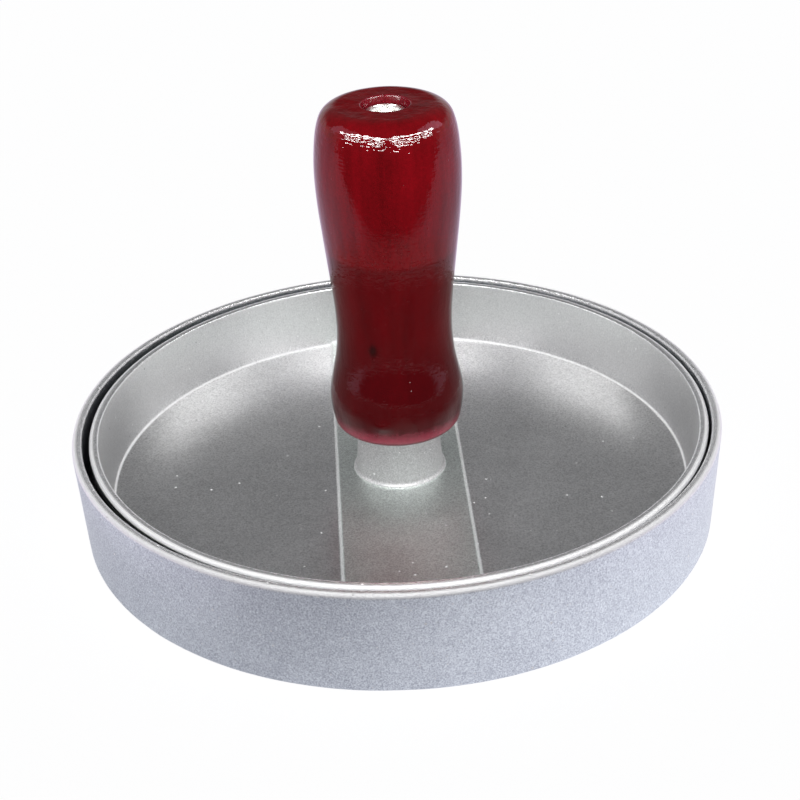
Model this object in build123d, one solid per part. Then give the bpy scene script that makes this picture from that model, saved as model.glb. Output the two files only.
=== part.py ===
"""Hand press for burger patties: a cast mould, and a cast press plate with a turned wooden handle.

All sizes are in millimetres. +Z is up, and the origin is the centre of the mould's foot.
The press plate lies loose in the mould, so its own axis stands a little to one side.
"""

import os

from build123d import *

# ---- mould: a shallow round tray -------------------------------------------------------------
MOULD_R = 60.0  # outer radius at the rim
MOULD_FOOT_R = 59.0  # outer radius at the foot, after the casting draft
MOULD_H = 19.9
MOULD_FLOOR_T = 3.0
BORE_R = 58.2  # inner radius at the rim
BORE_FLOOR_R = 57.7  # inner radius at the floor
RIM_EDGE_R = 0.5
FOOT_EDGE_R = 1.0
BORE_CORNER_R = 1.5
RECESS_R = 52.0  # shallow recess under the floor, so that only a ring stands on the table
RECESS_DEPTH = 0.7

SINK = 0.5  # how far a raised shape is sunk into the plate under it, so that the two fuse

# ---- press plate: a cup that slides in the mould ---------------------------------------------
PRESS_X = 0.35  # the plate's axis, to one side of the mould's
PRESS_RIM_R = 57.4
PRESS_SKIRT_R = 56.8  # outer radius just above the lower edge
PRESS_RIM_Z = 19.55
PRESS_UNDER_Z = 4.5  # flat underside, between the ridges
PRESS_CUP_R = 55.6  # inner radius at the rim
CUP_FLOOR_R = 53.9  # inner radius where the wall meets the floor
CUP_FLOOR_Z = 7.1
CUP_CORNER_R = 0.7
PRESS_EDGE_R = 0.7
SKIRT_EDGE_R = 1.2

BAND_W = 24.4  # raised band across the cup's floor, under the boss
BAND_H = 0.5
BAND_SLOPE = 0.6  # width of each sloping edge
BAND_EDGE_R = 0.3

# ---- ridges that mark the patty, on the mould's floor and under the plate ---------------------
RIDGE_COUNT = 5
RIDGE_PITCH = 10.0
RIDGE_H = 0.7
RIDGE_W = 2.4
RIDGE_TOP_W = 1.2
RIDGE_HUB_R = 4.0

# ---- boss that carries the handle ------------------------------------------------------------
BOSS_FOOT_R = 8.7
BOSS_FOOT_EDGE = 0.25  # upright edge of the foot
BOSS_FOOT_H = 0.9
BOSS_R = 8.15  # just above its foot
BOSS_TOP_R = 7.5
BOSS_TOP_Z = 17.6
THREAD_R = 2.0  # M4
TAP_R = THREAD_R + 0.03  # running clearance
TAP_DEPTH = 8.6

# ---- handle ----------------------------------------------------------------------------------
HANDLE_TOP_Z = 79.25
FOOT_FLAT_R = 9.55  # flat that stands on the boss
FOOT_ROUND_R = 2.25
FOOT_ROUND_ANGLE = 78  # degrees turned from the flat to where the grip begins
TOP_FLAT_R = 8.4
TOP_ROUND_R = 3.5
TOP_ROUND_ANGLE = 70
# the grip between its two rounded ends: radius, height above the table
GRIP_OUTLINE = [
    (12.3, 24.4),
    (11.1, 31.0),
    (10.5, 38.2),
    (11.2, 47.7),
    (12.27, 57.7),
    (12.87, 67.6),
    (12.6, 72.4),
]
HANDLE_HOLE_R = 2.3

# ---- screw and washer ------------------------------------------------------------------------
HEAD_R = 3.8  # pan head of an M4 screw
HEAD_H = 3.1
HEAD_CROWN = 0.9
HEAD_EDGE_R = 0.3
HEAD_TOP_Z = HANDLE_TOP_Z - 0.55
HEAD_SEAT_Z = HEAD_TOP_Z - HEAD_H
SCREW_L = 65.0
SHANK_R = 1.77  # plain part, above the thread
THREAD_L = 38.0
POINT_CHAMFER = 0.6
CROSS_SPAN = 4.4  # cross recess, tip to tip
CROSS_W = 1.1
CROSS_DEPTH = 2.2
CROSS_FLOOR_SPAN = 2.2  # the same two sizes at the recess's floor
CROSS_FLOOR_W = 0.8

WASHER_R = 4.0
WASHER_HOLE_R = 2.15
WASHER_T = 0.8
WASHER_EDGE = 0.15

COUNTERBORE_R = 4.25
COUNTERBORE_EDGE_R = 0.25


def turned(curves):
    """A solid of revolution about Z. The closed outline's curves are drawn as (radius, height)."""
    return revolve(Plane.XZ * make_face(curves), axis=Axis.Z)


def turned_outline(points):
    """A solid of revolution about Z from the corners of its closed, straight-sided outline."""
    return turned(Polyline(*points, close=True).edges())


def circles_at(shape, radius, height, reach=0.02):
    """The round edges about Z that have this radius and height."""
    found = shape.edges().filter_by(GeomType.CIRCLE)
    return ShapeList(
        e
        for e in found
        if abs(e.radius - radius) < reach and abs(e.center().Z - height) < reach
    )


def ridge_rings(base_z, up):
    """Concentric ridges with sloping sides, standing up from base_z or hanging down from it."""
    step = 1 if up else -1
    root_z = base_z - step * SINK
    top_z = base_z + step * RIDGE_H
    rings = []
    for i in range(1, RIDGE_COUNT + 1):
        r = RIDGE_PITCH * i
        rings.append(
            turned_outline(
                [
                    (r - RIDGE_W / 2, root_z),
                    (r + RIDGE_W / 2, root_z),
                    (r + RIDGE_W / 2, base_z),
                    (r + RIDGE_TOP_W / 2, top_z),
                    (r - RIDGE_TOP_W / 2, top_z),
                    (r - RIDGE_W / 2, base_z),
                ]
            )
        )
    hub = turned_outline(
        [
            (0, root_z),
            (RIDGE_HUB_R, root_z),
            (RIDGE_HUB_R, base_z),
            (RIDGE_HUB_R - (RIDGE_W - RIDGE_TOP_W) / 2, top_z),
            (0, top_z),
        ]
    )
    return rings + [hub]


def mould_base():
    """The tray: a wall with draft, a flat floor with ridges, and a ring foot."""
    tray = turned_outline(
        [
            (0, RECESS_DEPTH),
            (RECESS_R - RECESS_DEPTH, RECESS_DEPTH),
            (RECESS_R, 0),
            (MOULD_FOOT_R, 0),
            (MOULD_R, MOULD_H),
            (BORE_R, MOULD_H),
            (BORE_FLOOR_R, MOULD_FLOOR_T),
            (0, MOULD_FLOOR_T),
        ]
    )
    tray = fillet(circles_at(tray, MOULD_FOOT_R, 0), FOOT_EDGE_R)
    tray = fillet(circles_at(tray, BORE_FLOOR_R, MOULD_FLOOR_T), BORE_CORNER_R)
    rim = circles_at(tray, MOULD_R, MOULD_H) + circles_at(tray, BORE_R, MOULD_H)
    tray = fillet(rim, RIM_EDGE_R)
    for ridge in ridge_rings(MOULD_FLOOR_T, up=True):
        tray += ridge
    return tray


def cup_blank():
    """The plate's cup, without its band and boss."""
    cup = turned_outline(
        [
            (0, PRESS_UNDER_Z),
            (PRESS_SKIRT_R, PRESS_UNDER_Z),
            (PRESS_RIM_R, PRESS_RIM_Z),
            (PRESS_CUP_R, PRESS_RIM_Z),
            (CUP_FLOOR_R, CUP_FLOOR_Z),
            (0, CUP_FLOOR_Z),
        ]
    )
    cup = fillet(circles_at(cup, CUP_FLOOR_R, CUP_FLOOR_Z), CUP_CORNER_R)
    cup = fillet(circles_at(cup, PRESS_SKIRT_R, PRESS_UNDER_Z), SKIRT_EDGE_R)
    rim = circles_at(cup, PRESS_RIM_R, PRESS_RIM_Z)
    rim += circles_at(cup, PRESS_CUP_R, PRESS_RIM_Z)
    return fillet(rim, PRESS_EDGE_R)


def floor_band():
    """The raised band: a bar with sloping, rounded sides, cut to the cup's floor."""
    half = BAND_W / 2
    top = CUP_FLOOR_Z + BAND_H
    section = Polyline(
        (-half, 0, CUP_FLOOR_Z - SINK),
        (half, 0, CUP_FLOOR_Z - SINK),
        (half, 0, CUP_FLOOR_Z),
        (half - BAND_SLOPE, 0, top),
        (BAND_SLOPE - half, 0, top),
        (-half, 0, CUP_FLOOR_Z),
        close=True,
    )
    bar = extrude(make_face(section), amount=PRESS_RIM_R, dir=(0, 1, 0), both=True)
    shoulders = ShapeList(
        e
        for e in bar.edges().filter_by(Axis.Y)
        if abs(e.center().Z - top) < 0.01
    )
    bar = fillet(shoulders, BAND_EDGE_R)
    # the band's ends are sunk into the cup's wall
    limit = Pos(0, 0, CUP_FLOOR_Z) * Cylinder(CUP_FLOOR_R + SINK, 2 * (BAND_H + SINK))
    return bar & limit


def boss():
    """The boss with its foot and its draft, before the hole is tapped."""
    band_top = CUP_FLOOR_Z + BAND_H
    return turned_outline(
        [
            (0, CUP_FLOOR_Z - SINK),
            (BOSS_FOOT_R, CUP_FLOOR_Z - SINK),
            (BOSS_FOOT_R, band_top + BOSS_FOOT_EDGE),
            (BOSS_R, band_top + BOSS_FOOT_H),
            (BOSS_TOP_R, BOSS_TOP_Z),
            (0, BOSS_TOP_Z),
        ]
    )


def press_plate():
    """The plate on its own axis: cup, band, boss, ridges, and the tapped hole for the screw."""
    plate = cup_blank() + floor_band() + boss()
    for ridge in ridge_rings(PRESS_UNDER_Z, up=False):
        plate += ridge
    tapped = Pos(0, 0, BOSS_TOP_Z - TAP_DEPTH / 2) * Cylinder(TAP_R, TAP_DEPTH)
    return plate - tapped


def wood_handle():
    """The turned grip, with a through hole and a counterbore for the screw head."""
    foot = JernArc(
        start=(FOOT_FLAT_R, BOSS_TOP_Z),
        tangent=(1, 0),
        radius=FOOT_ROUND_R,
        arc_size=FOOT_ROUND_ANGLE,
    )
    top = JernArc(
        start=(TOP_FLAT_R, HANDLE_TOP_Z),
        tangent=(1, 0),
        radius=TOP_ROUND_R,
        arc_size=-TOP_ROUND_ANGLE,
    )
    side = Spline(
        foot @ 1,
        *GRIP_OUTLINE,
        top @ 1,
        tangents=[foot % 1, -(top % 1)],
        tangent_scalars=[1, 1],
    )
    flats = Polyline(top @ 0, (0, HANDLE_TOP_Z), (0, BOSS_TOP_Z), foot @ 0)
    grip = turned([foot, side, top, *flats.edges()])
    height = HANDLE_TOP_Z - BOSS_TOP_Z
    grip -= Pos(0, 0, BOSS_TOP_Z + height / 2) * Cylinder(HANDLE_HOLE_R, height)
    depth = HANDLE_TOP_Z - HEAD_SEAT_Z + WASHER_T
    grip -= Pos(0, 0, HANDLE_TOP_Z - depth / 2) * Cylinder(COUNTERBORE_R, depth)
    return fillet(circles_at(grip, COUNTERBORE_R, HANDLE_TOP_Z), COUNTERBORE_EDGE_R)


def cross_recess():
    """Two tapered arms, turned half way between the band's direction and its normal."""
    arms = []
    for angle in (45, 135):
        mouth = Pos(0, 0, HEAD_TOP_Z) * Rectangle(CROSS_SPAN, CROSS_W)
        floor_z = HEAD_TOP_Z - CROSS_DEPTH
        deep = Pos(0, 0, floor_z) * Rectangle(CROSS_FLOOR_SPAN, CROSS_FLOOR_W)
        arms.append(Rot(0, 0, angle) * loft([mouth, deep]))
    return arms


def handle_screw():
    """A long M4 screw with a crowned pan head and a cross recess."""
    tip_z = HEAD_SEAT_Z - SCREW_L
    thread_z = tip_z + THREAD_L
    crown_z = HEAD_TOP_Z - HEAD_CROWN
    crown_r = (HEAD_R**2 + HEAD_CROWN**2) / (2 * HEAD_CROWN)
    mid_r = HEAD_R / 2
    mid_drop = crown_r - (crown_r**2 - mid_r**2) ** 0.5
    crown = ThreePointArc(
        (HEAD_R, crown_z),
        (mid_r, HEAD_TOP_Z - mid_drop),
        (0, HEAD_TOP_Z),
    )
    rest = Polyline(
        (0, HEAD_TOP_Z),
        (0, tip_z),
        (THREAD_R - POINT_CHAMFER, tip_z),
        (THREAD_R, tip_z + POINT_CHAMFER),
        (THREAD_R, thread_z),
        (SHANK_R, thread_z + THREAD_R - SHANK_R),
        (SHANK_R, HEAD_SEAT_Z),
        (HEAD_R, HEAD_SEAT_Z),
        (HEAD_R, crown_z),
    )
    screw = turned([crown, *rest.edges()])
    screw = fillet(circles_at(screw, HEAD_R, crown_z), HEAD_EDGE_R)
    for arm in cross_recess():
        screw -= arm
    return screw


def flat_washer():
    """The flat washer under the screw head."""
    under_z = HEAD_SEAT_Z - WASHER_T
    washer = turned_outline(
        [
            (WASHER_HOLE_R, under_z),
            (WASHER_R, under_z),
            (WASHER_R, HEAD_SEAT_Z),
            (WASHER_HOLE_R, HEAD_SEAT_Z),
        ]
    )
    return chamfer(circles_at(washer, WASHER_R, HEAD_SEAT_Z), WASHER_EDGE)


def main():
    os.makedirs("parts", exist_ok=True)
    on_press_axis = Pos(PRESS_X, 0, 0)
    nodes = {
        "mould_base": mould_base(),
        "press_plate": on_press_axis * press_plate(),
        "wood_handle": on_press_axis * wood_handle(),
        "handle_screw": on_press_axis * handle_screw(),
        "flat_washer": on_press_axis * flat_washer(),
    }
    for name, shape in nodes.items():
        export_step(shape, f"parts/{name}.step")


main()
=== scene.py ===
"""Looks of the burger patty press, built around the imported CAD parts.

Shapes are worked out in millimetres and scaled to metres when a mesh is finished. Heights and centres come
from the CAD nodes' boxes. The camera's side of the object is -Y, and +Z is up.
"""

import math

import bmesh
import bpy
import numpy as np
from mathutils import Matrix, Vector, noise
from mathutils.geometry import delaunay_2d_cdt


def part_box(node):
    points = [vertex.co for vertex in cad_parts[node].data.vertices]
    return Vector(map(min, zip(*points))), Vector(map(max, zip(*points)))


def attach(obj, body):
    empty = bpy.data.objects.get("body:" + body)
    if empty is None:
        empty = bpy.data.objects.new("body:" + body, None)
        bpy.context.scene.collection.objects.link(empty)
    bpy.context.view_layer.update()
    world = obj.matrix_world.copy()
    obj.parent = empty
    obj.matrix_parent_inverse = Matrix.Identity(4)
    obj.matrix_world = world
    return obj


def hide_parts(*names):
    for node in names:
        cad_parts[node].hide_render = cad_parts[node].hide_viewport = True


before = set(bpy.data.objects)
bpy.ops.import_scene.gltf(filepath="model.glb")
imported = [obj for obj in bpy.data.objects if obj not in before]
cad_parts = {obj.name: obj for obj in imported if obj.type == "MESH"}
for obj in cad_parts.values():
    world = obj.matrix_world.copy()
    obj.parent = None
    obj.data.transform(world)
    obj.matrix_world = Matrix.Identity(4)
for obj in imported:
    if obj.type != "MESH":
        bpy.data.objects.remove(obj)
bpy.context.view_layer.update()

MM = 0.001  # metres


def box_mm(node):
    """A CAD node's lowest and highest corners, in millimetres."""
    low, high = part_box(node)
    return low / MM, high / MM


MOULD_LOW, MOULD_HIGH = box_mm("mould_base")
PRESS_LOW, PRESS_HIGH = box_mm("press_plate")
HANDLE_LOW, HANDLE_HIGH = box_mm("wood_handle")
SCREW_LOW, SCREW_HIGH = box_mm("handle_screw")
WASHER_LOW, WASHER_HIGH = box_mm("flat_washer")
PRESS_X = (PRESS_LOW.x + PRESS_HIGH.x) / 2  # the press lies a little to one side of the mould

# ---- sizes of the castings -------------------------------------------------------------------
# radii are from the axis of the mould or of the press, and heights are above the table
MOULD_R = 60.0
MOULD_FOOT_R = 59.0
MOULD_FLOOR_Z = 3.0
BORE_R = 58.2
BORE_FLOOR_R = 57.7
RECESS_R = 52.0
RECESS_DEPTH = 0.7
PRESS_RIM_R = 57.4
PRESS_SKIRT_R = 56.8
PRESS_UNDER_Z = 4.5
PRESS_RIM_Z = PRESS_HIGH.z
CUP_R = 55.6
CUP_FLOOR_R = 53.9
CUP_FLOOR_Z = 7.1
CUP_MESH_R = 53.0  # where the turned wall hands over to the floor's own mesh
BAND_HALF = 11.9  # to the middle of the band's sloping edge
BAND_EDGE = 0.42  # half the width of that edge
BAND_H = 0.5
RIDGE_PITCH = 10.0
RIDGE_COUNT = 5
RIDGE_H = 0.7
RIDGE_W = 2.4
RIDGE_TOP_W = 1.2
RIDGE_HUB_R = 4.0
BOSS_FOOT_R = 8.7
BOSS_R = 8.15
BOSS_TOP_R = 7.5
BOSS_TOP_Z = HANDLE_LOW.z
FLOOR_PITCH = 1.6  # of the mesh on the cup's floor
FOOT_LOOP = 0.12  # from the boss's foot to the first loop of that mesh

# ---- sizes of the handle, the screw and the washer -------------------------------------------
THREAD_R = 2.0
THREAD_PITCH = 0.7
THREAD_DEPTH = 0.36
THREAD_L = 38.0
TAP_R = 2.04
TAP_DEPTH = 8.6
TAP_CHAMFER = 0.35
DRILL_POINT_H = 1.2
HANDLE_TOP_Z = HANDLE_HIGH.z
GRIP = [
    (12.3, 24.4),
    (11.1, 31.0),
    (10.5, 38.2),
    (11.2, 47.7),
    (12.27, 57.7),
    (12.87, 67.6),
    (12.6, 72.4),
]
FOOT_FLAT_R = 9.55
FOOT_ROUND_R = 2.25
FOOT_ROUND_ANGLE = math.radians(78)
TOP_FLAT_R = 8.4
TOP_ROUND_R = 3.5
TOP_ROUND_ANGLE = math.radians(70)
VARNISH_RUN = (-3.4, -12.0, 22.6)
VARNISH_RUN_SIZE = (1.5, 1.5, 1.1)
VARNISH_RUN_H = 0.4
KNOT = (-4.4, -9.8, 37.0)
KNOT_SIZE = (1.0, 1.0, 1.3)
HANDLE_HOLE_R = 2.3
COUNTERBORE_R = 4.25
HEAD_R = 3.8
HEAD_CROWN = 0.9
SHANK_R = 1.77
HEAD_TOP_Z = SCREW_HIGH.z
HEAD_SEAT_Z = WASHER_HIGH.z
TIP_Z = SCREW_LOW.z
WASHER_HOLE_R = 2.15


# ---- outlines --------------------------------------------------------------------------------
def rounded(corners, closed=False):
    """Points of an outline from its (radius, height, rounding) corners, with arcs at the rounded ones."""
    points = []
    for i, (r, z, rounding) in enumerate(corners):
        here = Vector((r, z))
        if rounding == 0:
            points.append(here)
            continue
        before = (Vector(corners[i - 1][:2]) - here).normalized()
        after = (Vector(corners[(i + 1) % len(corners)][:2]) - here).normalized()
        half = before.angle(after) / 2
        centre = here + (before + after).normalized() * rounding / math.sin(half)
        spoke = here + before * rounding / math.tan(half) - centre
        last = here + after * rounding / math.tan(half) - centre
        turn = math.copysign(math.pi - 2 * half, spoke.cross(last))
        steps = max(4, math.ceil(abs(turn) / math.radians(11)))
        for k in range(steps + 1):
            points.append(centre + Matrix.Rotation(turn * k / steps, 2) @ spoke)
    return divided(points, closed)


def divided(points, closed=False, step=1.6, near=0.12):
    """The same outline with its long straight stretches divided, and a point close to each of their ends."""
    ends = points[1:] + points[:1] if closed else points[1:]
    made = []
    for a, b in zip(points, ends):
        length = (b - a).length
        made.append(a)
        if length < 4 * near:
            continue
        count = math.ceil(length / step)
        places = [k * length / count for k in range(1, count)]
        places = [near] + [p for p in places if 2 * near < p < length - 2 * near] + [length - near]
        made += [a.lerp(b, p / length) for p in places]
    return made if closed else made + [points[-1]]


def arc(centre, radius, start, turn, steps=14):
    """Points on an arc, angles in radians from the +radius direction."""
    angles = [start + turn * k / steps for k in range(steps + 1)]
    return [Vector(centre) + radius * Vector((math.cos(a), math.sin(a))) for a in angles]


def smooth_curve(points, start, end, per_span=12):
    """A cubic spline through the points, with unit tangents given at both ends, spaced by chord length."""
    p = np.array([tuple(q) for q in points])
    t = np.concatenate([[0.0], np.cumsum(np.linalg.norm(np.diff(p, axis=0), axis=1))])
    h = np.diff(t)
    count = len(p)
    matrix = np.eye(count)
    right = np.zeros((count, 2))
    right[0] = start
    right[-1] = end
    for i in range(1, count - 1):
        matrix[i, i - 1 : i + 2] = (h[i], 2 * (h[i - 1] + h[i]), h[i - 1])
        slope_before = (p[i] - p[i - 1]) / h[i - 1]
        slope_after = (p[i + 1] - p[i]) / h[i]
        right[i] = 3 * (h[i] * slope_before + h[i - 1] * slope_after)
    tangent = np.linalg.solve(matrix, right)
    made = []
    for i in range(count - 1):
        for k in range(per_span):
            s = k / per_span
            made.append(
                (2 * s**3 - 3 * s**2 + 1) * p[i]
                + (s**3 - 2 * s**2 + s) * h[i] * tangent[i]
                + (3 * s**2 - 2 * s**3) * p[i + 1]
                + (s**3 - s**2) * h[i] * tangent[i + 1]
            )
    return [Vector(q) for q in made] + [Vector(p[-1])]


def ridge_corners(base_z, top_z):
    """Corners of the concentric ridges on a floor, from the outermost ridge to the middle of the hub."""
    corners = []
    for i in range(RIDGE_COUNT, 0, -1):
        r = RIDGE_PITCH * i
        corners += [
            (r + RIDGE_W / 2, base_z, 0.25),
            (r + RIDGE_TOP_W / 2, top_z, 0.3),
            (r - RIDGE_TOP_W / 2, top_z, 0.3),
            (r - RIDGE_W / 2, base_z, 0.25),
        ]
    side = (RIDGE_W - RIDGE_TOP_W) / 2
    return corners + [(RIDGE_HUB_R, base_z, 0.25), (RIDGE_HUB_R - side, top_z, 0.3), (0.0, top_z, 0)]


# ---- meshes ----------------------------------------------------------------------------------
def turned(outline, angles, closed=False):
    """Vertices and faces of an outline turned about Z; a point on the axis becomes one vertex."""
    verts = []
    rows = []
    for r, z in outline:
        first = len(verts)
        if r < 1e-6:
            verts.append((0.0, 0.0, z))
            rows.append([first] * len(angles))
            continue
        verts += [(r * math.cos(a), r * math.sin(a), z) for a in angles]
        rows.append(list(range(first, first + len(angles))))
    faces = []
    pairs = zip(rows, rows[1:] + rows[:1]) if closed else zip(rows, rows[1:])
    for low, high in pairs:
        for k in range(len(angles)):
            j = (k + 1) % len(angles)
            face = dict.fromkeys((low[k], low[j], high[j], high[k]))
            if len(face) > 2:
                faces.append(tuple(face))
    return np.array(verts), faces


def even_angles(count):
    """This many angles, evenly spaced round a circle."""
    return [2 * math.pi * k / count for k in range(count)]


def step_down(x, low, high):
    """1 up to low, 0 from high on, and a smooth fall between them."""
    t = np.clip((x - low) / (high - low), 0, 1)
    return 1 - t * t * (3 - 2 * t)


def joined(*meshes):
    """Several (vertices, faces) pairs as one."""
    verts = np.concatenate([m[0] for m in meshes])
    faces = []
    offset = 0
    for v, f in meshes:
        faces += [tuple(i + offset for i in face) for face in f]
        offset += len(v)
    return verts, faces


def make_piece(name, mesh_data, centre_x=0.0, body=None, node=None, material=None):
    """A smooth-shaded piece from vertices in millimetres, which stands for a CAD node and rides its body."""
    verts, faces = mesh_data
    verts = (verts + np.array((centre_x, 0.0, 0.0))) * MM
    mesh = bpy.data.meshes.new(name)
    mesh.from_pydata(verts.tolist(), [], faces)
    work = bmesh.new()
    work.from_mesh(mesh)
    bmesh.ops.remove_doubles(work, verts=work.verts, dist=0.004 * MM)
    bmesh.ops.recalc_face_normals(work, faces=work.faces)
    work.to_mesh(mesh)
    work.free()
    mesh.shade_smooth()
    mesh.materials.append(material)
    piece = bpy.data.objects.new(name, mesh)
    bpy.context.scene.collection.objects.link(piece)
    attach(piece, body)
    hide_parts(node)
    return piece


def vertex_places(piece):
    """The piece's vertices as an array, in millimetres."""
    mesh = piece.data
    places = np.empty(len(mesh.vertices) * 3)
    mesh.vertices.foreach_get("co", places)
    return places.reshape(-1, 3) / MM


def vertex_normals(piece):
    """The piece's vertex normals as an array."""
    normals = np.empty(len(piece.data.vertices) * 3)
    piece.data.vertex_normals.foreach_get("vector", normals)
    return normals.reshape(-1, 3)


def set_places(piece, places):
    """Puts the piece's vertices at these places, in millimetres."""
    piece.data.vertices.foreach_set("co", (places * MM).ravel())
    piece.data.update()


def uneven(piece, amount, size, seed):
    """Moves each vertex along its normal by a smooth noise, since no casting or turned grip is true."""
    places = vertex_places(piece)
    offset = Vector((seed, 2 * seed, 3 * seed))
    moves = []
    for place in places:
        p = Vector(place)
        moves.append(noise.noise(p / size + offset) + 0.4 * noise.noise(p * 2.7 / size))
    places += vertex_normals(piece) * np.array(moves)[:, None] * amount
    places[:, 2] = np.clip(places[:, 2], 0.0, HANDLE_TOP_Z)
    set_places(piece, places)


def paint(piece, name, values):
    """Stores one number per vertex for the piece's material to read."""
    attribute = piece.data.attributes.new(name, "FLOAT", "POINT")
    attribute.data.foreach_set("value", values.astype(np.float32))


def mould(material):
    """The tray with its ridged floor, its rounded rim and the ring that it stands on."""
    outline = rounded(
        [
            (0.0, RECESS_DEPTH, 0),
            (RECESS_R - RECESS_DEPTH, RECESS_DEPTH, 0.5),
            (RECESS_R, MOULD_LOW.z, 0.35),
            (MOULD_FOOT_R, MOULD_LOW.z, 1.0),
            (MOULD_R, MOULD_HIGH.z, 0.85),
            (BORE_R, MOULD_HIGH.z, 0.55),
            (BORE_FLOOR_R, MOULD_FLOOR_Z, 1.5),
            *ridge_corners(MOULD_FLOOR_Z, MOULD_FLOOR_Z + RIDGE_H),
        ]
    )
    piece = make_piece(
        "mould",
        turned(outline, even_angles(480)),
        body="mould",
        node="mould_base",
        material=material,
    )
    uneven(piece, 0.035, 7.0, seed=3.0)
    places = vertex_places(piece)
    radius = np.hypot(places[:, 0], places[:, 1])
    rim = 1 - step_down(places[:, 2], MOULD_HIGH.z - 1.0, MOULD_HIGH.z - 0.35)
    # painted highlight: the rim's rounded outer edge is painted white and made matte
    outer_edge = rim * (1 - step_down(radius, MOULD_R - 1.0, MOULD_R - 0.45))
    paint(piece, "painted_highlight", 0.7 * outer_edge)
    paint(piece, "matte", outer_edge)
    foot = step_down(places[:, 2], 0.3, 1.0) * (radius > MOULD_FOOT_R - 1.5)
    paint(piece, "wear", np.maximum(rim, 0.35 * foot))
    # painted shade: the bore's wall is darkened where it faces the press across the gap
    paint(piece, "painted_shade", gap_shade(places[:, 2], MOULD_HIGH.z) * (radius < BORE_R + 0.3))
    return piece


def gap_shade(z, rim_z):
    """Painted shade: the dark band on the walls that face each other in the gap, from just under a rim to
    half-way down.
    """
    return step_down(z, rim_z - 2.6, rim_z - 1.2) * (1 - step_down(z, rim_z - 14.0, rim_z - 8.0))


def band_height(x):
    """Height of the raised band above the cup's floor, at a distance x from its middle line."""
    return BAND_H * step_down(np.abs(x), BAND_HALF - BAND_EDGE, BAND_HALF + BAND_EDGE)


def band_lines():
    """Distances from the band's middle line of the mesh lines that draw its two sloping edges."""
    shares = (-1.35, -1.0, -0.75, -0.5, -0.25, 0.0, 0.25, 0.5, 0.75, 1.0, 1.35)
    edge = [BAND_HALF + BAND_EDGE * s for s in shares]
    return [-x for x in reversed(edge)] + edge


def cup_angles():
    """Evenly spaced angles, and those where the band's mesh lines reach the turned wall."""
    special = []
    for x in band_lines():
        a = math.acos(x / CUP_MESH_R)
        special += [a, 2 * math.pi - a]
    clear = math.radians(0.3)
    regular = [a for a in even_angles(480) if all(abs(a - b) > clear for b in special)]
    return sorted(regular + special)


def cup_wall():
    """The press plate's wall, rim, skirt and ridged underside, turned in one sweep."""
    outline = rounded(
        [
            (CUP_MESH_R, CUP_FLOOR_Z, 0),
            (CUP_FLOOR_R, CUP_FLOOR_Z, 0.5),
            (CUP_R, PRESS_RIM_Z, 0.5),
            (PRESS_RIM_R, PRESS_RIM_Z, 0.95),
            (PRESS_SKIRT_R, PRESS_UNDER_Z, 1.2),
            *ridge_corners(PRESS_UNDER_Z, PRESS_UNDER_Z - RIDGE_H),
        ]
    )
    verts, faces = turned(outline, cup_angles())
    # where the band meets the wall, the rounded corner climbs the wall's slope with it
    radius = np.hypot(verts[:, 0], verts[:, 1])
    inside = (verts[:, 2] >= CUP_FLOOR_Z - 1e-6) & (radius < CUP_R + 0.2)
    share = np.clip(1 - (verts[:, 2] - CUP_FLOOR_Z) / (PRESS_RIM_Z - 1 - CUP_FLOOR_Z), 0, 1)
    lift = np.where(inside, band_height(verts[:, 0]) * share, 0)
    slope = (CUP_R - CUP_FLOOR_R) / (PRESS_RIM_Z - CUP_FLOOR_Z)
    on_wall = np.clip((radius - CUP_MESH_R) / (CUP_FLOOR_R - CUP_MESH_R), 0, 1)
    verts[:, :2] *= (1 + slope * lift * on_wall / np.maximum(radius, 1))[:, None]
    verts[:, 2] += lift
    return verts, faces


def cup_floor(boss_angles):
    """The cup's floor round the boss, with mesh lines along the band's edges."""
    points = []
    edges = []

    def add_loop(radius, angles):
        first = len(points)
        points.extend(Vector((radius * math.cos(a), radius * math.sin(a))) for a in angles)
        edges.extend((first + k, first + (k + 1) % len(angles)) for k in range(len(angles)))

    def add_line(x):
        reach = math.sqrt(CUP_MESH_R**2 - x * x)
        count = math.ceil(2 * reach / FLOOR_PITCH)
        first = len(points)
        points.extend(Vector((x, reach * (2 * k / count - 1))) for k in range(count + 1))
        edges.extend((first + k, first + k + 1) for k in range(count))

    add_loop(CUP_MESH_R, cup_angles())
    add_loop(BOSS_FOOT_R, boss_angles)
    add_loop(BOSS_FOOT_R + FOOT_LOOP, boss_angles)
    for x in band_lines():
        add_line(x)
    edge_reach = BAND_EDGE * 1.35 + FLOOR_PITCH / 2
    row_pitch = FLOOR_PITCH * 0.866
    rows = math.ceil(CUP_MESH_R / row_pitch)
    for row in range(-rows, rows + 1):
        y = row * row_pitch
        for column in range(-rows, rows + 1):
            x = (column + 0.5 * (row % 2)) * FLOOR_PITCH
            radius = math.hypot(x, y)
            if radius > CUP_MESH_R - 0.9 or radius < BOSS_FOOT_R + 0.8:
                continue
            if abs(abs(x) - BAND_HALF) > edge_reach:
                points.append(Vector((x, y)))
    flat, _, triangles, *_ = delaunay_2d_cdt(points, edges, [], 0, 0.002)
    flat = np.array([tuple(p) for p in flat])
    middles = flat[np.array(triangles)].mean(axis=1)
    kept = [tuple(t) for t, m in zip(triangles, middles) if math.hypot(*m) > BOSS_FOOT_R * 0.999]
    return np.column_stack([flat, CUP_FLOOR_Z + band_height(flat[:, 0])]), kept


def thread_cut(angle, height):
    """Depth of the M4 thread's groove: 0 at a crest and 1 at a root, with both a little flattened."""
    turn = (height / THREAD_PITCH - angle / (2 * math.pi)) % 1.0
    return np.clip(1.35 * (1 - np.abs(2 * turn - 1)) - 0.17, 0, 1)


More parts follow.
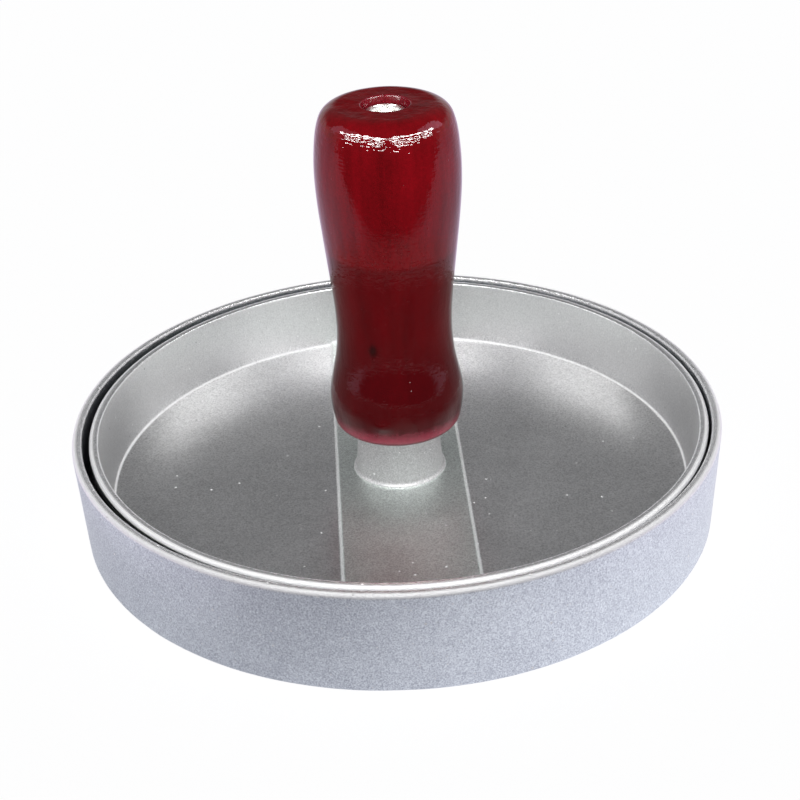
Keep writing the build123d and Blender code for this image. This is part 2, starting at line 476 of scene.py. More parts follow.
def boss(angles):
    """The boss: an upright edge and a flare at its foot, a drafted side, and the tapped hole."""
    foot_z = CUP_FLOOR_Z + BAND_H
    hole_z = BOSS_TOP_Z - TAP_DEPTH
    side = rounded(
        [
            (BOSS_FOOT_R, foot_z, 0),
            (BOSS_FOOT_R, foot_z + 0.35, 0.18),
            (BOSS_R, foot_z + 0.85, 0.5),
            (BOSS_TOP_R, BOSS_TOP_Z, 0.25),
            (TAP_R + TAP_CHAMFER, BOSS_TOP_Z, 0.08),
            (TAP_R, BOSS_TOP_Z - TAP_CHAMFER, 0),
        ]
    )
    rows = round(TAP_DEPTH / 0.1)
    thread_l = TAP_DEPTH - TAP_CHAMFER
    thread = [Vector((TAP_R, BOSS_TOP_Z - TAP_CHAMFER - thread_l * k / rows)) for k in range(1, rows + 1)]
    verts, faces = turned(side + thread + [Vector((0.0, hole_z - DRILL_POINT_H))], angles)
    radius = np.hypot(verts[:, 0], verts[:, 1])
    in_hole = (radius < TAP_R + 0.01) & (radius > 0.1)
    angle = np.arctan2(verts[:, 1], verts[:, 0])
    above_end = np.clip((verts[:, 2] - hole_z) / 0.5, 0, 1)
    below_mouth = np.clip((BOSS_TOP_Z - 0.3 - verts[:, 2]) / 0.5, 0, 1)
    groove = THREAD_DEPTH * (1 - thread_cut(angle, verts[:, 2]))
    wider = np.where(in_hole, groove * (above_end * below_mouth), 0)
    verts[:, :2] *= (1 + wider / np.maximum(radius, 0.1))[:, None]
    return verts, faces


def paint_press(piece):
    """Marks the press plate's worn rim, painted highlight lines, matte boss, even wall, band, and the
    painted shade in the gap and on the boss.
    """
    places = vertex_places(piece) - np.array((PRESS_X, 0, 0))
    radius = np.hypot(places[:, 0], places[:, 1])
    rim = (1 - step_down(places[:, 2], PRESS_RIM_Z - 1.5, PRESS_RIM_Z - 0.5)) * (radius > CUP_R)
    paint(piece, "wear", rim)
    # painted highlights: thin white, matte lines at the boss's foot, along the floor's corner with the wall,
    # on the band's edges and on the rim's outer edge
    foot_line_z = CUP_FLOOR_Z + BAND_H + 0.27
    foot = (np.abs(places[:, 2] - foot_line_z) < 0.12) * (np.abs(radius - BOSS_FOOT_R) < 0.25)
    above = places[:, 2] - CUP_FLOOR_Z - band_height(places[:, 0])
    corner = step_down(np.abs(radius - CUP_FLOOR_R), 0.15, 0.36) * step_down(above, 0.3, 0.55) * (above > -1)
    outer_edge = rim * (1 - step_down(radius, PRESS_RIM_R - 1.15, PRESS_RIM_R - 0.6))
    outer_edge *= 1 - step_down(places[:, 2], PRESS_RIM_Z - 0.8, PRESS_RIM_Z - 0.5)
    on_band = step_down(np.abs(places[:, 0]), BAND_HALF - 0.5, BAND_HALF + 0.5)
    edges = step_down(np.abs(np.abs(places[:, 0]) - BAND_HALF), 0.1, 0.4) * (radius < CUP_FLOOR_R)
    edges *= (places[:, 2] > CUP_FLOOR_Z - 1) & (radius > BOSS_FOOT_R)
    lines = np.maximum.reduce([0.5 * foot, corner, 0.4 * edges, 0.8 * outer_edge])
    on_boss = (radius < BOSS_R + 0.2) & (above > 0.6)
    paint(piece, "painted_highlight", lines)
    paint(piece, "matte", np.maximum(lines, 0.8 * on_boss))
    on_wall = (radius > CUP_FLOOR_R - 0.2) & (radius < CUP_R + 0.1) & (above > 0.6)
    paint(piece, "even", on_wall.astype(float))
    on_floor = (radius < CUP_FLOOR_R) & (np.abs(places[:, 2] - CUP_FLOOR_Z) < BAND_H + 0.2)
    paint(piece, "band", on_band * on_floor)
    # painted shade: the walls in the gap are darkened, and the boss under the handle a little
    outside = (radius > CUP_R + 1.0) | (places[:, 2] < CUP_FLOOR_Z - 1)
    paint(piece, "painted_shade", np.maximum(gap_shade(places[:, 2], PRESS_RIM_Z) * outside, 0.45 * on_boss))


def press(material):
    """The press plate: cup, raised band across its floor, boss, and ridges underneath."""
    boss_angles = even_angles(96)
    piece = make_piece(
        "press",
        joined(cup_wall(), cup_floor(boss_angles), boss(boss_angles)),
        centre_x=PRESS_X,
        body="press",
        node="press_plate",
        material=material,
    )
    uneven(piece, 0.03, 6.0, seed=8.0)
    paint_press(piece)
    return piece


def grip_outline():
    """The handle's outer side, from the edge of its foot to the edge of its top."""
    foot_centre = (FOOT_FLAT_R, HANDLE_LOW.z + FOOT_ROUND_R)
    foot = arc(foot_centre, FOOT_ROUND_R, -math.pi / 2, FOOT_ROUND_ANGLE)
    top_centre = (TOP_FLAT_R, HANDLE_TOP_Z - TOP_ROUND_R)
    top = arc(top_centre, TOP_ROUND_R, math.pi / 2 - TOP_ROUND_ANGLE, TOP_ROUND_ANGLE, steps=24)
    leave = (math.cos(FOOT_ROUND_ANGLE), math.sin(FOOT_ROUND_ANGLE))
    arrive = (-math.cos(TOP_ROUND_ANGLE), math.sin(TOP_ROUND_ANGLE))
    side = smooth_curve([foot[-1], *GRIP, top[0]], leave, arrive)
    return foot[:-1] + side + top[1:]


def around(places, centre, size):
    """1 at the centre, and a smooth fall towards 0 at about this distance along each axis."""
    away = (places - np.array(centre)) / np.array(size)
    return np.exp(-(away**2).sum(axis=1))


def paint_handle(piece):
    """Marks the handle's knot, its thin stain and its rubbed top."""
    places = vertex_places(piece) - np.array((PRESS_X, 0, 0))
    radius = np.hypot(places[:, 0], places[:, 1])
    # a pin-head knot on the front
    paint(piece, "knot", around(places, KNOT, KNOT_SIZE))
    # the stain is thin on the edges: round the foot and round the mouth of the hole
    foot = step_down(places[:, 2], HANDLE_LOW.z + 0.6, HANDLE_LOW.z + 5.0)
    mouth = step_down(radius, COUNTERBORE_R + 0.1, COUNTERBORE_R + 0.7) * (places[:, 2] > HANDLE_TOP_Z - 2)
    paint(piece, "thin", np.maximum(foot, 0.3 * mouth))
    # the varnish on the flat top was rubbed down
    on_top = (places[:, 2] > HANDLE_TOP_Z - 1) & (radius > COUNTERBORE_R + 0.2)
    paint(piece, "rubbed", step_down(radius, TOP_FLAT_R - 0.3, TOP_FLAT_R + 1.0) * on_top)


def shape_handle(piece):
    """Gives the handle its run of varnish, its hand-dressed top and its unevenness."""
    places = vertex_places(piece) - np.array((PRESS_X, 0, 0))
    radius = np.hypot(places[:, 0], places[:, 1])
    # a run of varnish that dried at the foot, on the front
    bulge = VARNISH_RUN_H * around(places, VARNISH_RUN, VARNISH_RUN_SIZE)
    # the top was dressed by hand, so it dips and leans a little
    top = 1 - step_down(places[:, 2], HANDLE_TOP_Z - 6, HANDLE_TOP_Z)
    dip = -0.12 * top * np.sin(2 * np.arctan2(places[:, 1], places[:, 0]) + 0.8) * step_down(radius, 6, 12)
    outer = radius > COUNTERBORE_R + 0.4
    grown = places * (1 + (bulge / np.maximum(radius, 1))[:, None] * np.array((1, 1, 0)))
    grown[:, 2] += np.where(outer, np.minimum(dip, 0), 0)
    set_places(piece, grown + np.array((PRESS_X, 0, 0)))
    uneven(piece, 0.035, 8.0, seed=5.0)


def handle(material):
    """The turned wooden grip, with a hole for the screw right through and a counterbore for its head."""
    seat_z = WASHER_LOW.z
    bore = rounded(
        [
            (TOP_FLAT_R, HANDLE_TOP_Z, 0),
            (COUNTERBORE_R, HANDLE_TOP_Z, 0.25),
            (COUNTERBORE_R, seat_z, 0.15),
            (HANDLE_HOLE_R, seat_z, 0.15),
            (HANDLE_HOLE_R, HANDLE_LOW.z, 0.15),
            (FOOT_FLAT_R, HANDLE_LOW.z, 0),
        ]
    )
    piece = make_piece(
        "handle",
        turned(grip_outline()[:-1] + bore[:-1], even_angles(224), closed=True),
        centre_x=PRESS_X,
        body="press",
        node="wood_handle",
        material=material,
    )
    paint_handle(piece)
    shape_handle(piece)
    return piece


def tapered_arm(angle):
    """One arm of the cross recess, as a cutter that narrows downwards."""
    top_z = HEAD_TOP_Z + 0.2
    floor_z = HEAD_TOP_Z - 2.3
    corners = []
    for half_l, half_w, z in ((1.1, 0.4, floor_z), (2.57, 0.59, top_z)):
        corners += [(-half_l, -half_w, z), (half_l, -half_w, z), (half_l, half_w, z), (-half_l, half_w, z)]
    sides = [(0, 1, 5, 4), (1, 2, 6, 5), (2, 3, 7, 6), (3, 0, 4, 7)]
    turn = np.array(Matrix.Rotation(angle, 3, "Z"))
    return np.array(corners) @ turn.T, sides + [(3, 2, 1, 0), (4, 5, 6, 7)]


def cut_with(piece, cutter_data):
    """Cuts a closed cutter out of the piece and keeps the result as the piece's mesh."""
    verts, faces = cutter_data
    mesh = bpy.data.meshes.new("cutter")
    mesh.from_pydata(((verts + np.array((PRESS_X, 0, 0))) * MM).tolist(), [], faces)
    cutter = bpy.data.objects.new("cutter", mesh)
    bpy.context.scene.collection.objects.link(cutter)
    cut = piece.modifiers.new("cut", "BOOLEAN")
    cut.operation = "DIFFERENCE"
    cut.solver = "EXACT"
    cut.object = cutter
    bpy.context.view_layer.update()
    result = bpy.data.meshes.new_from_object(piece.evaluated_get(bpy.context.evaluated_depsgraph_get()))
    piece.modifiers.clear()
    piece.data = result
    bpy.data.objects.remove(cutter)


def screw(material):
    """The long screw: crowned head with a cross recess, plain shank, rolled thread and chamfered tip."""
    crown_r = (HEAD_R**2 + HEAD_CROWN**2) / (2 * HEAD_CROWN)
    crown_centre = HEAD_TOP_Z - crown_r
    crown_edge_r = HEAD_R - 0.35
    crown = []
    for k in range(9):
        r = crown_edge_r * k / 8
        crown.append(Vector((r, crown_centre + math.sqrt(crown_r**2 - r * r))))
    thread_top = TIP_Z + THREAD_L
    body = rounded(
        [
            (crown_edge_r, crown[-1].y, 0),
            (HEAD_R, HEAD_TOP_Z - HEAD_CROWN - 0.15, 0.25),
            (HEAD_R, HEAD_SEAT_Z, 0.1),
            (SHANK_R, HEAD_SEAT_Z, 0.12),
            (SHANK_R, thread_top + 0.25, 0.1),
            (THREAD_R, thread_top, 0),
        ]
    )
    rows = round(THREAD_L / 0.1)
    thread = [Vector((THREAD_R, thread_top - (THREAD_L - 0.6) * k / rows)) for k in range(1, rows + 1)]
    tip = divided([thread[-1], Vector((THREAD_R - 0.6, TIP_Z)), Vector((0.0, TIP_Z))])
    verts, faces = turned(crown[:-1] + body + thread[:-1] + tip, even_angles(64))
    radius = np.hypot(verts[:, 0], verts[:, 1])
    angle = np.arctan2(verts[:, 1], verts[:, 0])
    threaded = (radius > THREAD_R - 0.55) & (radius < THREAD_R + 0.01)
    ends = np.clip((thread_top - verts[:, 2]) / 1.2, 0, 1)
    depth = np.where(threaded, THREAD_DEPTH * thread_cut(angle, verts[:, 2]) * ends, 0)
    verts[:, :2] *= (1 - depth / np.maximum(radius, 0.1))[:, None]
    piece = make_piece(
        "screw",
        (verts, faces),
        centre_x=PRESS_X,
        body="press",
        node="handle_screw",
        material=material,
    )
    for degrees in (45, 135):
        cut_with(piece, tapered_arm(math.radians(degrees)))
    piece.data.set_sharp_from_angle(angle=math.radians(38))
    return piece


def washer(material):
    """The flat washer under the screw head, with edges rounded by the punch."""
    outline = rounded(
        [
            (WASHER_HOLE_R, WASHER_LOW.z, 0.1),
            (WASHER_HIGH.x - PRESS_X, WASHER_LOW.z, 0.1),
            (WASHER_HIGH.x - PRESS_X, WASHER_HIGH.z, 0.2),
            (WASHER_HOLE_R, WASHER_HIGH.z, 0.2),
        ],
        closed=True,
    )
    return make_piece(
        "washer",
        turned(outline, even_angles(96), closed=True),
        centre_x=PRESS_X,
        body="washer",
        node="flat_washer",
        material=material,
    )


# ---- materials -------------------------------------------------------------------------------
# white for worn metal and for the painted highlight lines
WORN_AND_HIGHLIGHT_WHITE = (0.98, 0.98, 0.98, 1)
# a faint green painted on the band against the handle's red reflection
BAND_TINT_AGAINST_REFLECTION = (0.955, 1.015, 0.98, 1)
STAIN_DARK = (0.0095, 0.0001, 0.0002, 1)
STAIN_LIGHT = (0.0245, 0.0002, 0.0006, 1)
STAIN_IN_PORES = (0.017, 0.0002, 0.0004, 1)
# painted shade on the lower half of the handle
STAIN_IN_SHADE = (0.005, 0.0001, 0.0002, 1)
STAIN_THIN = (0.045, 0.006, 0.010, 1)
KNOT_COLOUR = (0.002, 0.0001, 0.0001, 1)


def add(tree, kind, inputs=None, **settings):
    """A new shader node with these settings, and with a value or a link in each named input."""
    made = tree.nodes.new(kind)
    for key, value in settings.items():
        setattr(made, key, value)
    for key, value in (inputs or {}).items():
        if isinstance(value, bpy.types.NodeSocket):
            tree.links.new(value, made.inputs[key])
        else:
            made.inputs[key].default_value = value
    return made


def new_material(name):
    """A node material, its tree and its main shader."""
    material = bpy.data.materials.new(name)
    material.use_nodes = True
    tree = material.node_tree
    return material, tree, tree.nodes["Principled BSDF"]


def millimetres(tree, stretch=(1.0, 1.0, 1.0)):
    """The piece's own coordinates in millimetres, stretched along each axis."""
    place = add(tree, "ShaderNodeTexCoord").outputs["Object"]
    scale = [s / MM for s in stretch]
    return add(tree, "ShaderNodeVectorMath", {0: place, 1: scale}, operation="MULTIPLY").outputs[0]


def noise_at(tree, place, scale, detail=2.0, roughness=0.5):
    """A noise with this many features per millimetre, from 0 to 1."""
    inputs = {"Vector": place, "Scale": scale, "Detail": detail, "Roughness": roughness}
    return add(tree, "ShaderNodeTexNoise", inputs).outputs["Fac"]


def ranged(tree, value, low, high, to_low=0.0, to_high=1.0, smooth=False):
    """The value with low..high mapped to to_low..to_high, and held at both ends."""
    inputs = {"Value": value, "From Min": low, "From Max": high, "To Min": to_low, "To Max": to_high}
    kind = "SMOOTHSTEP" if smooth else "LINEAR"
    return add(tree, "ShaderNodeMapRange", inputs, interpolation_type=kind).outputs["Result"]


def maths(tree, operation, a, b=0.0):
    """The result of a maths node."""
    return add(tree, "ShaderNodeMath", {0: a, 1: b}, operation=operation).outputs[0]


def mixed(tree, share, a, b, blend="MIX"):
    """Colour a where the share is 0 and colour b, or a blended with b, where it is 1."""
    made = add(tree, "ShaderNodeMix", data_type="RGBA", blend_type=blend)
    for socket, value in zip((made.inputs[0], made.inputs[6], made.inputs[7]), (share, a, b)):
        if isinstance(value, bpy.types.NodeSocket):
            tree.links.new(value, socket)
        else:
            socket.default_value = value
    return made.outputs[2]


def shade(colour, factor):
    """A colour made lighter or darker, with alpha."""
    return (*[min(1.0, c * factor) for c in colour], 1.0)


def spots(tree, place, scale, size, share):
    """Small round spots, one to a cell of 1/scale mm, in this share of the cells."""
    cells = add(tree, "ShaderNodeTexVoronoi", {"Vector": place, "Scale": scale})
    near = ranged(tree, cells.outputs["Distance"], size * 0.55, size, 1.0, 0.0)
    pick = add(tree, "ShaderNodeSeparateColor", {0: cells.outputs["Color"]}).outputs[0]
    return maths(tree, "MULTIPLY", near, maths(tree, "LESS_THAN", pick, share))


def moved_away(tree, place):
    """The same coordinates moved away, so that two sets of spots don't coincide."""
    return add(tree, "ShaderNodeVectorMath", {0: place, 1: (37.0, 11.0, 23.0)}, operation="ADD").outputs[0]


def painted(tree, name):
    """What the piece's vertices were painted with under this name."""
    return add(tree, "ShaderNodeAttribute", attribute_name=name).outputs["Fac"]


def blasted_metal(tree, place, grain, clouds, colour, contrast):
    """The casting's own colour, grainy and cloudy, and less so where it is painted even."""
    coarse = noise_at(tree, place, 0.9, detail=3.0)
    tone = maths(tree, "ADD", maths(tree, "MULTIPLY", grain, 0.75), maths(tree, "MULTIPLY", clouds, 0.15))
    tone = maths(tree, "ADD", tone, maths(tree, "MULTIPLY", coarse, 0.10))
    swing = maths(tree, "SUBTRACT", 1.0, maths(tree, "MULTIPLY", painted(tree, "even"), 0.55))
    tone = maths(tree, "ADD", 0.5, maths(tree, "MULTIPLY", maths(tree, "SUBTRACT", tone, 0.5), swing))
    tone = ranged(tree, tone, 0.36, 0.64)
    return mixed(tree, tone, shade(colour, 1 - contrast), shade(colour, 1 + contrast))


def cast_aluminium(name, colour, contrast, relief, smoothest):
    """Sand-blasted casting: sparkling grain, cloudy tone, a few pits painted dark, white specks, bright worn
    edges, and painted highlights and painted shade where they are marked.
    """
    material, tree, shader = new_material(name)
    place = millimetres(tree)
    grain = noise_at(tree, place, 3.6, detail=1.5, roughness=0.7)
    clouds = noise_at(tree, place, 0.06, detail=3.0, roughness=0.6)
    band = painted(tree, "band")
    base = blasted_metal(tree, place, grain, clouds, colour, contrast)
    # painted against a reflection: the band is tinted faintly green to offset the handle's red reflection on
    # it
    base = mixed(tree, band, base, BAND_TINT_AGAINST_REFLECTION, blend="MULTIPLY")
    # painted shade: the colour is darkened nearly to black in the gap, and partly on the boss, where it is
    # marked
    base = mixed(tree, maths(tree, "MULTIPLY", painted(tree, "painted_shade"), 0.75), base, shade(colour, 0.12))
    dots = spots(tree, place, 0.33, 0.09, 0.45)
    specks = maths(tree, "MAXIMUM", spots(tree, place, 0.9, 0.15, 0.25), dots)
    base = mixed(tree, maths(tree, "MULTIPLY", specks, 0.9), base, (1.0, 1.0, 1.0, 1))
    # painted shade: the pits are coloured darker as well as dented
    pits = spots(tree, moved_away(tree, place), 0.4, 0.11, 0.25)
    base = mixed(tree, maths(tree, "MULTIPLY", pits, 0.35), base, shade(colour, 0.25))
    wear = painted(tree, "wear")
    broken = maths(tree, "ADD", wear, maths(tree, "MULTIPLY", maths(tree, "SUBTRACT", grain, 0.5), 1.1))
    worn = maths(tree, "MULTIPLY", ranged(tree, broken, 0.35, 0.75), ranged(tree, wear, 0.0, 0.2))
    base = mixed(tree, worn, base, WORN_AND_HIGHLIGHT_WHITE)
    ragged = ranged(tree, noise_at(tree, place, 1.5, detail=3.0, roughness=0.8), 0.36, 0.56, 0.35, 1.0)
    # painted highlights: the marked lines, broken up by noise, and the dots are mixed to white
    painted_highlight = maths(tree, "MAXIMUM", maths(tree, "MULTIPLY", painted(tree, "painted_highlight"), ragged), dots)
    tree.links.new(mixed(tree, painted_highlight, base, WORN_AND_HIGHLIGHT_WHITE), shader.inputs["Base Color"])
    # where matte is marked, including the painted highlight lines, and at the dots, the metal turns
    # non-metal and rougher
    matte = maths(tree, "MAXIMUM", painted(tree, "matte"), dots)
    metallic = maths(tree, "SUBTRACT", 1.0, maths(tree, "MULTIPLY", matte, 0.8))
    tree.links.new(metallic, shader.inputs["Metallic"])
    rough = ranged(tree, clouds, 0.3, 0.7, smoothest, smoothest + 0.05)
    rough = maths(tree, "ADD", rough, maths(tree, "MULTIPLY", band, 0.10))
    rough = maths(tree, "ADD", rough, maths(tree, "MULTIPLY", matte, 0.20))
    rough = maths(tree, "SUBTRACT", rough, maths(tree, "MULTIPLY", worn, 0.14))
    tree.links.new(rough, shader.inputs["Roughness"])
    height = maths(tree, "SUBTRACT", grain, maths(tree, "MULTIPLY", pits, 0.8))
    height = maths(tree, "ADD", height, maths(tree, "MULTIPLY", specks, 1.2))
    height = maths(tree, "MULTIPLY", height, ranged(tree, wear, 0.0, 1.0, 1.0, 2.4))
    bump = add(tree, "ShaderNodeBump", {"Strength": 1.0, "Distance": relief * MM, "Height": height})
    tree.links.new(bump.outputs[0], shader.inputs["Normal"])
    return material


def wood_stain(tree, place, pores):
    """Red stain over figured wood: thin on the edges and black at the knot, with painted shade on the lower
    half.
    """
    figure = noise_at(tree, millimetres(tree, (1.0, 1.0, 0.07)), 0.42, detail=4.0, roughness=0.6)
    blotches = noise_at(tree, place, 0.07, detail=2.0)
    fine = noise_at(tree, place, 1.6, detail=2.0, roughness=0.7)
    tone = maths(tree, "ADD", maths(tree, "MULTIPLY", figure, 0.4), maths(tree, "MULTIPLY", blotches, 0.35))
    tone = maths(tree, "ADD", tone, maths(tree, "MULTIPLY", fine, 0.25))
    stain = mixed(tree, ranged(tree, tone, 0.34, 0.66), STAIN_DARK, STAIN_LIGHT)
    dark_pores = maths(tree, "MULTIPLY", ranged(tree, pores, 0.60, 0.74), 0.3)
    stain = mixed(tree, dark_pores, stain, STAIN_IN_PORES)
    # painted shade: darker below a step half-way up, and darker still towards the foot
    height = add(tree, "ShaderNodeSeparateXYZ", {0: place}).outputs["Z"]
    lower_half_shade = ranged(tree, height, 52.8, 54.2, 0.5, 0.0, smooth=True)
    lower_half_shade = maths(tree, "ADD", lower_half_shade, ranged(tree, height, 42.0, 29.0, 0.0, 0.3, smooth=True))
    stain = mixed(tree, lower_half_shade, stain, STAIN_IN_SHADE)
    thin = maths(tree, "MULTIPLY", maths(tree, "SUBTRACT", fine, 0.5), 0.6)
    thin = maths(tree, "ADD", painted(tree, "thin"), thin)
    stain = mixed(tree, ranged(tree, thin, 0.15, 1.1), stain, STAIN_THIN)
    return mixed(tree, ranged(tree, painted(tree, "knot"), 0.2, 0.8), stain, KNOT_COLOUR)


def varnish_surface(tree, place):
    """Height of the varnish: ripples along the handle, dust, and brush marks round the top edge."""
    ripples = noise_at(tree, millimetres(tree, (1.0, 1.0, 0.35)), 0.55, detail=3.0, roughness=0.6)
    brushed = noise_at(tree, millimetres(tree, (0.7, 0.7, 2.2)), 0.75, detail=2.0, roughness=0.5)
    pebbles = noise_at(tree, place, 2.4, detail=1.0)
    dust = spots(tree, place, 0.5, 0.09, 0.3)
    surface = maths(tree, "ADD", ripples, maths(tree, "MULTIPLY", dust, 0.5))
    surface = maths(tree, "ADD", surface, maths(tree, "MULTIPLY", pebbles, 0.15))
    height = add(tree, "ShaderNodeSeparateXYZ", {0: place}).outputs["Z"]
    turn = maths(tree, "MULTIPLY", ranged(tree, height, 70.5, 73.0), ranged(tree, height, 78.6, 77.6))
    brushed = maths(tree, "MULTIPLY", brushed, ranged(tree, turn, 0.0, 1.0, 0.3, 1.1))
    return maths(tree, "ADD", surface, brushed)


def varnished_wood():
    """Dark red stained wood, with its grain along the handle, under a thick gloss varnish."""
    material, tree, shader = new_material("varnished_wood")
    place = millimetres(tree)
    pores = noise_at(tree, millimetres(tree, (3.2, 3.2, 0.16)), 1.0, detail=2.0, roughness=0.6)
    tree.links.new(wood_stain(tree, place, pores), shader.inputs["Base Color"])
    shader.inputs["Roughness"].default_value = 0.5
    shader.inputs["Specular IOR Level"].default_value = 0.0
    gloss = ranged(tree, painted(tree, "rubbed"), 0.0, 1.0, 1.0, 0.3)
    tree.links.new(gloss, shader.inputs["Coat Weight"])
    shader.inputs["Coat Roughness"].default_value = 0.03
    shader.inputs["Coat IOR"].default_value = 1.27
    height = varnish_surface(tree, place)
    bump = add(tree, "ShaderNodeBump", {"Strength": 0.5, "Distance": 0.14 * MM, "Height": height})
    tree.links.new(bump.outputs[0], shader.inputs["Coat Normal"])
    inner = add(tree, "ShaderNodeBump", {"Strength": 0.3, "Distance": 0.05 * MM, "Height": pores})
    tree.links.new(inner.outputs[0], shader.inputs["Normal"])
    return material


def bright_zinc(name, tint, roughness):
    """Zinc plate: a bright metal with faint turning marks and a slight cloudiness."""
    material, tree, shader = new_material(name)
    place = millimetres(tree)
    clouds = noise_at(tree, place, 0.5, detail=3.0)
    colour = mixed(tree, ranged(tree, clouds, 0.3, 0.7), shade(tint, 0.8), shade(tint, 1.1))
    tree.links.new(colour, shader.inputs["Base Color"])
    shader.inputs["Metallic"].default_value = 1.0
    rough = ranged(tree, clouds, 0.3, 0.7, roughness - 0.05, roughness + 0.07)
    tree.links.new(rough, shader.inputs["Roughness"])
    marks = noise_at(tree, place, 4.0, detail=2.0)
    bump = add(tree, "ShaderNodeBump", {"Strength": 0.4, "Distance": 0.02 * MM, "Height": marks})
    tree.links.new(bump.outputs[0], shader.inputs["Normal"])
    return material


# ---- studio ----------------------------------------------------------------------------------
LIGHT_DISTANCE = 900.0


def pale_floor():
    """A white table top. It glows, so that it stays white, and lights the press by where it lies.

    Close to the mould it gives more light on the right than in the middle. Further out it is a bright ring,
    dimmer behind the press and dark in front of it.
    """
    size = 3000.0
    height = -0.03  # just under the mould, so that the two never coincide
    corners = [(-size, -size, height), (size, -size, height), (size, size, height), (-size, size, height)]
    mesh = bpy.data.meshes.new("floor")
    mesh.from_pydata([Vector(corner) * MM for corner in corners], [], [(0, 1, 2, 3)])
    floor = bpy.data.objects.new("floor", mesh)
    bpy.context.scene.collection.objects.link(floor)
    material, tree, shader = new_material("floor_white")
    shader.inputs["Specular IOR Level"].default_value = 0.0
    shader.inputs["Roughness"].default_value = 1.0
    seen = add(tree, "ShaderNodeLightPath").outputs["Is Camera Ray"]
    colour = mixed(tree, seen, (0.40, 0.40, 0.41, 1), (0.20, 0.20, 0.20, 1))
    tree.links.new(colour, shader.inputs["Base Color"])
    place = millimetres(tree)
    split = add(tree, "ShaderNodeSeparateXYZ", {0: place})
    right = ranged(tree, split.outputs["X"], -35.0, 50.0, 0.0, 1.0, smooth=True)
    left = ranged(tree, split.outputs["X"], -30.0, -90.0, 0.0, 0.45, smooth=True)
    near = mixed(tree, maths(tree, "MAXIMUM", right, left), (0.43, 0.43, 0.46, 1), (0.82, 0.82, 0.88, 1))
    front = ranged(tree, split.outputs["Y"], -55.0, -100.0, 0.0, 1.0, smooth=True)
    far = mixed(tree, front, (1.15, 1.00, 1.25, 1), (0.06, 0.06, 0.07, 1))
    back = ranged(tree, split.outputs["Y"], 20.0, 80.0, 0.0, 1.0, smooth=True)
    far = mixed(tree, back, far, (0.85, 0.72, 0.95, 1))
    away = add(tree, "ShaderNodeVectorMath", {0: place}, operation="LENGTH").outputs["Value"]
    bounced = mixed(tree, ranged(tree, away, 88.0, 108.0, 0.0, 1.0, smooth=True), near, far)
    glow = mixed(tree, seen, bounced, (0.95, 0.95, 0.95, 1))
    tree.links.new(glow, shader.inputs["Emission Color"])
    shader.inputs["Emission Strength"].default_value = 1.0
    mesh.materials.append(material)


def room():
    """Pale walls low down at the sides and behind, a grey front, a dim ceiling, and a white background."""
    world = bpy.data.worlds.new("room")
    bpy.context.scene.world = world
    world.use_nodes = True
    tree = world.node_tree
    way = add(tree, "ShaderNodeTexCoord").outputs["Generated"]
    split = add(tree, "ShaderNodeSeparateXYZ", {0: way})
    low = ranged(tree, split.outputs["Z"], 0.16, 0.40, 1.0, 0.0, smooth=True)
    front = ranged(tree, split.outputs["Y"], 0.1, -0.4, 0.0, 1.0, smooth=True)
    back = maths(tree, "MULTIPLY", low, maths(tree, "SUBTRACT", 1.0, front))
    tone = mixed(tree, back, (0.165, 0.166, 0.17, 1), (0.85, 0.85, 0.88, 1))
    tone = mixed(tree, front, tone, (0.18, 0.18, 0.20, 1))
    seen = add(tree, "ShaderNodeLightPath").outputs["Is Camera Ray"]
    tone = mixed(tree, seen, tone, (1.0, 1.0, 1.0, 1))
    background = tree.nodes["Background"]
    tree.links.new(tone, background.inputs["Color"])
    background.inputs["Strength"].default_value = 1.0


def soft_light(name, azimuth, elevation, width, height, radiance, only, colour=(1, 1, 1)):
    """A soft light aimed at the press. Azimuth is from the camera's side (-Y) towards +X, in degrees.

    The light reaches only the pieces in the list, as a flag or a snoot would keep it to them.
    """
    a = math.radians(azimuth)
    e = math.radians(elevation)
    data = bpy.data.lights.new(name, "AREA")
    data.shape = "RECTANGLE"
    data.size = width * MM
    data.size_y = height * MM
    data.energy = radiance * math.pi * data.size * data.size_y
    data.color = colour
    lamp = bpy.data.objects.new(name, data)
    towards = Vector((math.sin(a) * math.cos(e), -math.cos(a) * math.cos(e), math.sin(e)))
    target = Vector((PRESS_X, 0, 50)) * MM
    lamp.location = target + towards * LIGHT_DISTANCE * MM
    lamp.rotation_euler = towards.to_track_quat("Z", "Y").to_euler()
    bpy.context.scene.collection.objects.link(lamp)
    lit = bpy.data.collections.new(f"{name}_lit")
    for piece in only:
        lit.objects.link(piece)
    lamp.light_linking.receiver_collection = lit


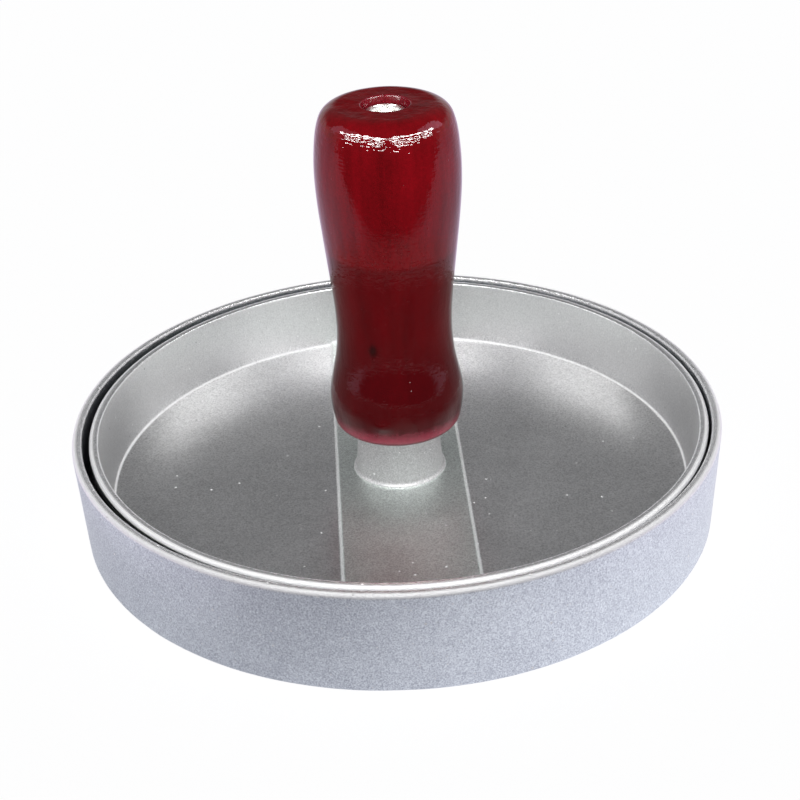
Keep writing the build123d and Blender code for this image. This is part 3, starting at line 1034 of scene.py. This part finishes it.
def camera():
    """The camera stands in front of the press, looks down at it, and is held a little out of level."""
    place = Vector((-9.7, -276.9, 175.0)) * MM
    heading = math.radians(2.18)
    pitch = math.radians(28.98)
    roll = math.radians(-2.3)
    flat_ahead = Vector((math.sin(heading), math.cos(heading), 0))
    ahead = flat_ahead * math.cos(pitch) - Vector((0, 0, math.sin(pitch)))
    level = Vector((math.cos(heading), -math.sin(heading), 0))
    up = level.cross(ahead)
    right = level * math.cos(roll) + up * math.sin(roll)
    up = up * math.cos(roll) - level * math.sin(roll)
    data = bpy.data.cameras.new("camera")
    data.lens = 76.5
    data.sensor_width = 36.0
    data.clip_start = 0.01
    data.clip_end = 20.0
    view = bpy.data.objects.new("camera", data)
    view.matrix_world = Matrix.Translation(place) @ Matrix((right, up, -ahead)).transposed().to_4x4()
    bpy.context.scene.collection.objects.link(view)
    bpy.context.scene.camera = view


# ---- the scene -------------------------------------------------------------------------------
# painted shade: the mould's aluminium is darker and bluer than the press's, so that its outer wall comes out
# dim and bluish
tray = mould(cast_aluminium("mould_aluminium", (0.70, 0.735, 0.82), 0.31, 0.06, 0.37))
plate = press(cast_aluminium("press_aluminium", (0.83, 0.83, 0.83), 0.24, 0.03, 0.29))
grip = handle(varnished_wood())
bolt = screw(bright_zinc("screw_steel", (0.78, 0.78, 0.75), 0.25))
washer(bright_zinc("washer_steel", (0.70, 0.70, 0.68), 0.30))

pale_floor()
room()
PINK = (1.0, 0.72, 0.95)
for side in (-1, 1):
    soft_light(f"upper_{side}", 44 * side, 31, 1380, 75, 170, only=[grip, bolt])
    soft_light(f"lower_{side}", 41 * side, 16, 1230, 22, 230, only=[grip, bolt])
    # one inside the other, so that the reflection has a soft edge
    for size in (380, 530, 680):
        name = f"side_{size}_{side}"
        soft_light(name, 88 * side, 32, size, 0.8 * size, 2.7 + 0.8 * side, only=[grip], colour=PINK)
    soft_light(f"cup_{side}", 39 * side, 17, 780, 480, 1.25 + 0.2 * side, only=[plate])
    soft_light(f"rims_{side}", 97 * side, 42, 700, 420, 1.4, only=[tray, plate])
soft_light("overhead", 0, 68, 800, 460, 4.4, only=[tray, plate])
soft_light("front", 0, 17, 600, 480, 1.0, only=[plate])
soft_light("glint", 180, 42, 500, 300, 5.0, only=[bolt])
camera()
bpy.context.scene.view_settings.view_transform = "Standard"
